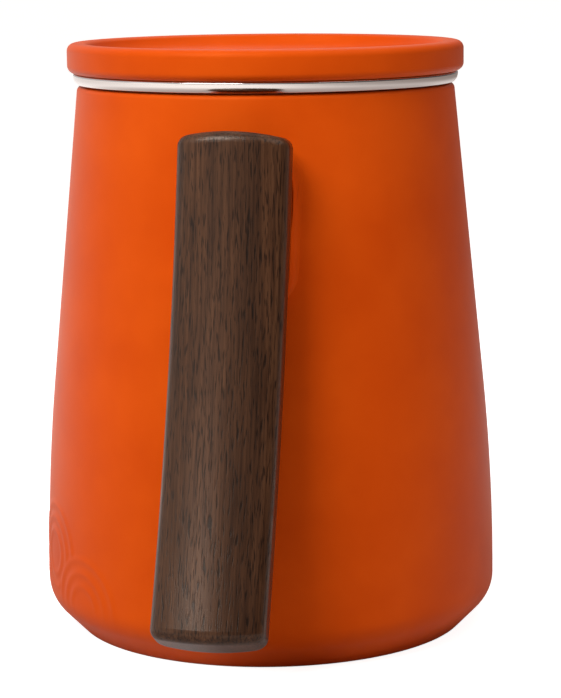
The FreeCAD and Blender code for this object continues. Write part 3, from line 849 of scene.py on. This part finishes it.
def camera_matrix():
    """The camera's place and turn: round the mug, then turned, tipped and rolled a little."""
    around = math.radians(CAMERA_AZIMUTH)
    yaw = math.radians(CAMERA_YAW)
    pitch = math.radians(CAMERA_PITCH)
    roll = math.radians(CAMERA_ROLL)
    up = Vector((0, 0, 1))
    toward = Vector((-math.sin(around), math.cos(around), 0))
    right = Vector((math.cos(around), math.sin(around), 0))
    level = toward * math.cos(yaw) + right * math.sin(yaw)
    right = right * math.cos(yaw) - toward * math.sin(yaw)
    ahead = level * math.cos(pitch) - up * math.sin(pitch)
    above = up * math.cos(pitch) + level * math.sin(pitch)
    side = right * math.cos(roll) + above * math.sin(roll)
    above = above * math.cos(roll) - right * math.sin(roll)
    turn = Matrix((side, above, -ahead)).transposed().to_4x4()
    place = -toward * CAMERA_DISTANCE + up * CAMERA_HEIGHT
    return Matrix.Translation(place) @ turn


def add_camera():
    """The camera at the photograph's viewing angle, with its lens."""
    lens = bpy.data.cameras.new("camera")
    lens.sensor_fit = "VERTICAL"
    lens.sensor_height = SENSOR_HEIGHT
    lens.lens = SENSOR_HEIGHT * FOCAL_PIXELS / PHOTO_HEIGHT
    lens.shift_x = -CENTRE_OFFSET_PIXELS / PHOTO_HEIGHT
    lens.clip_start = CAMERA_NEAR
    camera = placed("camera", lens)
    camera.matrix_world = camera_matrix()
    bpy.context.scene.camera = camera


def add_lamps():
    """Square soft boxes that look at the middle of the mug: a key high at the left, a faint
    one low beside it, a weaker fill at the right, and one over the back."""
    aim = Vector((0, 0, LAMP_AIM_HEIGHT))
    for name, rightward, upward, distance, size, power in LAMPS:
        lamp = bpy.data.lights.new(name, "AREA")
        lamp.size = size
        lamp.energy = power
        box = placed(name, lamp)
        around = math.radians(CAMERA_AZIMUTH + rightward)
        rise = math.radians(upward)
        direction = Vector((math.sin(around) * math.cos(rise), -math.cos(around) * math.cos(rise),
                            math.sin(rise)))
        box.location = aim + direction * distance
        box.rotation_euler = direction.to_track_quat("Z", "Y").to_euler()


def studio_right(tree, place):
    """How far a place or a direction lies towards the studio's right, away from the key."""
    right = math.radians(CAMERA_AZIMUTH + 90)
    across = add_node(tree, "ShaderNodeVectorMath", {"operation": "DOT_PRODUCT"}, _0=place,
                      _1=(math.sin(right), -math.cos(right), 0.0))
    return across.outputs["Value"]


def mirrored(tree, path):
    """1 for a ray that gloss or glass sends on, and 0 for any other."""
    return add_node(tree, "ShaderNodeMath", {"operation": "MAXIMUM"}, _0=path["Is Glossy Ray"],
                    _1=path["Is Transmission Ray"])


def studio_walls():
    """Pale walls. The camera sees them white, gloss sees them pale at the left and dimmer at
    the right, and they light everything with a dim, warm, even light."""
    world = bpy.data.worlds.new("studio")
    bpy.context.scene.world = world
    tree = emptied(world)
    path = add_node(tree, "ShaderNodeLightPath").outputs
    direction = add_node(tree, "ShaderNodeTexCoord").outputs["Generated"]
    in_gloss = add_node(tree, "ShaderNodeMapRange", {"interpolation_type": "SMOOTHSTEP"},
                        Value=studio_right(tree, direction), From_Min=-0.8, From_Max=0.8,
                        To_Min=0.8, To_Max=0.1)
    strength = add_node(tree, "ShaderNodeMath", {"operation": "MAXIMUM"},
                        _0=path["Is Camera Ray"], _1=in_gloss)
    seen = add_node(tree, "ShaderNodeMath", {"operation": "MAXIMUM"}, _0=path["Is Camera Ray"],
                    _1=mirrored(tree, path))
    dim = add_node(tree, "ShaderNodeBackground", Color=linear("FFD6C2"), Strength=0.31)
    white = add_node(tree, "ShaderNodeBackground", Color=linear("FFFFFF"), Strength=strength)
    mix = add_node(tree, "ShaderNodeMixShader", _0=seen, _1=dim, _2=white)
    add_node(tree, "ShaderNodeOutputWorld", Surface=mix)


def floor_paint():
    """Matt pale paint that shows white and keeps the mug's shadow. What gloss sees of it grows
    dim close round the foot, where the mug shades it, and towards the dimmer right."""
    made, tree, place = started("pale_floor")
    path = add_node(tree, "ShaderNodeLightPath").outputs
    away = add_node(tree, "ShaderNodeVectorMath", {"operation": "LENGTH"}, _0=place)
    unshaded = add_node(tree, "ShaderNodeMapRange", {"interpolation_type": "SMOOTHSTEP"},
                        Value=away.outputs["Value"], From_Min=MUG_MAX_RADIUS,
                        From_Max=6.0 * MUG_MAX_RADIUS)
    lit = add_node(tree, "ShaderNodeMapRange", {"interpolation_type": "SMOOTHSTEP"},
                   Value=studio_right(tree, place), From_Min=-0.1, From_Max=0.4,
                   To_Min=1.0, To_Max=0.15)
    level = add_node(tree, "ShaderNodeMath", {"operation": "MULTIPLY"}, _0=unshaded, _1=lit)
    in_gloss = add_node(tree, "ShaderNodeMath", {"operation": "MULTIPLY"},
                        _0=mirrored(tree, path), _1=level)
    seen = add_node(tree, "ShaderNodeMath", {"operation": "MAXIMUM"}, _0=path["Is Camera Ray"],
                    _1=in_gloss)
    paint = add_node(tree, "ShaderNodeBsdfDiffuse", Color=linear("C8C8C8"))
    glow = add_node(tree, "ShaderNodeEmission", Color=linear("FFFFFF"), Strength=0.9)
    glowing = add_node(tree, "ShaderNodeAddShader", _0=paint, _1=glow)
    mix = add_node(tree, "ShaderNodeMixShader", _0=seen, _1=paint, _2=glowing)
    add_node(tree, "ShaderNodeOutputMaterial", Surface=mix)
    return made


def pale_floor():
    """The plain pale floor that the mug stands on."""
    sheet = bpy.data.meshes.new("floor")
    corners = [(-1, -1), (1, -1), (1, 1), (-1, 1)]
    sheet.from_pydata([(x * STUDIO_REACH, y * STUDIO_REACH, 0) for x, y in corners], [],
                      [(0, 1, 2, 3)])
    sheet.materials.append(floor_paint())
    floor = placed("floor", sheet)


glaze = satin_glaze()
mug = glazed_mug(glaze, bare_stoneware())
lug = handle_lug(glaze)
lid = dished_lid(glaze)
rim = steel_rim(polished_steel())
basket = basket_steel()
wall_pieces = basket_wall(basket)
base_pieces = basket_base(basket)
dress("handle_grip", oiled_walnut())
dress("handle_bond", amber_epoxy())
dress("lid_seal", milky_silicone())

for pieces, body, slot, node in (((mug, lug), "mug", "glaze", "mug_body"),
                                 ((lid,), "lid", "glaze", "lid"),
                                 ((rim,), "infuser", "polished_steel", "infuser_rim"),
                                 (wall_pieces, "infuser", "basket_steel", "infuser_wall"),
                                 (base_pieces, "infuser", "basket_steel", "infuser_base")):
    for piece in pieces:
        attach(piece, body)
        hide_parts(node)

pale_floor()
add_lamps()
studio_walls()
add_camera()
bpy.context.scene.view_settings.view_transform = "Standard"
